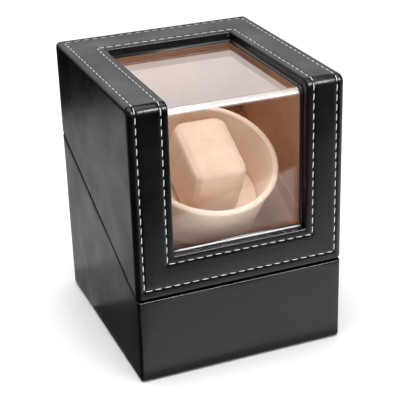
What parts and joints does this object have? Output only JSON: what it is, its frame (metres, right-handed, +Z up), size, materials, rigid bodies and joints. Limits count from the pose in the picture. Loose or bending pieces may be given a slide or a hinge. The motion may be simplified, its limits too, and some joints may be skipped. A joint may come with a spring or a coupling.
{
  "type": "watch winder box",
  "caption": "Desktop box that slowly turns a watch on a tilted cushion cup behind a bent clear window in a hinged wedge lid.",
  "frame": {"origin": "middle of the felt resting face under the box", "axes": "+X to the right seen from the window side, +Y to the hinged back, +Z up"},
  "size_m": [0.13, 0.1416, 0.17],
  "materials": {
    "black_leatherette": "fine grained, satin",
    "board": "medium density fibreboard",
    "brown_suede": "brushed microsuede",
    "cream_flock": "flocked",
    "cream_suede": "brushed microsuede",
    "clear_acrylic": "polished",
    "black_felt": "pressed felt",
    "zinc_steel": "zinc plated",
    "nickel_steel": "nickel plated",
    "motor_can": "drawn can",
    "clear_rubber": "soft",
    "bronze": "sintered bronze",
    "brass": "turned",
    "white_acetal": "moulded",
    "black_abs": "moulded, fine spark texture",
    "grey_nylon": "moulded",
    "green_laminate": "solder mask",
    "lead_insulation": "extruded"
  },
  "bodies": {
    "base": {"felt_base": "black_felt", "bottom_cover": "board", "bottom_screws": "zinc_steel", "corner_blocks": "board", "base_front_board": "board", "base_back_board": "board", "base_left_board": "board", "base_right_board": "board", "base_wrap": "black_leatherette", "base_lining": "brown_suede", "base_magnets": "nickel_steel", "lid_bumpers": "clear_rubber", "deck_panel": "board", "deck_lining": "brown_suede", "deck_cleats": "board", "deck_screws": "zinc_steel", "deck_bush": "bronze", "motor_plate": "zinc_steel", "plate_standoffs": "zinc_steel", "plate_screws": "zinc_steel", "lower_bush": "bronze", "motor": "motor_can", "motor_screws": "zinc_steel", "motor_leads": "lead_insulation", "control_tray": "black_abs", "control_board": "green_laminate", "board_screws": "zinc_steel", "rotary_switch": "black_abs", "dc_jack": "black_abs", "dc_jack_pin": "brass", "base_hinge_leaves": "nickel_steel", "base_hinge_screws": "nickel_steel", "hinge_pins": "nickel_steel"},
    "lid": {"lid_hinge_leaves": "nickel_steel", "lid_hinge_screws": "nickel_steel", "lid_top_frame": "board", "lid_front_frame": "board", "lid_back_board": "board", "lid_left_board": "board", "lid_right_board": "board", "lid_wrap": "black_leatherette", "lid_magnets": "nickel_steel", "window_pane": "clear_acrylic", "pane_retainer": "brown_suede", "lid_lining_left": "brown_suede", "lid_lining_right": "brown_suede", "lid_lining_back": "brown_suede", "lid_lining_top": "brown_suede"},
    "rotor": {"rotor_cup": "cream_flock", "cup_floor_pad": "cream_flock", "cup_screws": "zinc_steel", "rotor_hub": "white_acetal", "rotor_shaft": "zinc_steel", "shaft_clip": "zinc_steel", "rotor_gear": "white_acetal"},
    "cushion": {"cushion": "cream_suede"},
    "motor_rotor": {"motor_shaft": "zinc_steel", "motor_pinion": "white_acetal"},
    "knob": {"mode_knob": "black_abs", "mode_spindle": "grey_nylon"}
  },
  "joints": [
    {"name": "lid_hinge", "type": "hinge", "parent": "base", "child": "lid", "pos_m": [0, 0.0708, 0.11125], "axis": [-1, 0, 0], "range_deg": [0, 85]},
    {"name": "rotor_spin", "type": "hinge", "parent": "base", "child": "rotor", "pos_m": [0, -0.02047, 0.1135], "axis": [0, -0.4772, 0.8788], "continuous": true},
    {"name": "pinion_spin", "type": "hinge", "parent": "base", "child": "motor_rotor", "pos_m": [0, 0.00484, 0.12724], "axis": [0, -0.4772, 0.8788], "continuous": true},
    {"name": "cushion_lift", "type": "slide", "parent": "rotor", "child": "cushion", "axis": [0, -0.4772, 0.8788], "range_m": [0, 0.012]},
    {"name": "mode_knob_turn", "type": "hinge", "parent": "base", "child": "knob", "pos_m": [-0.013, 0.0632, 0.036], "axis": [0, 1, 0], "range_deg": [0, 270]}
  ],
  "couplings": [
    {"joint": "pinion_spin", "follows": "rotor_spin", "ratio": -5}
  ]
}
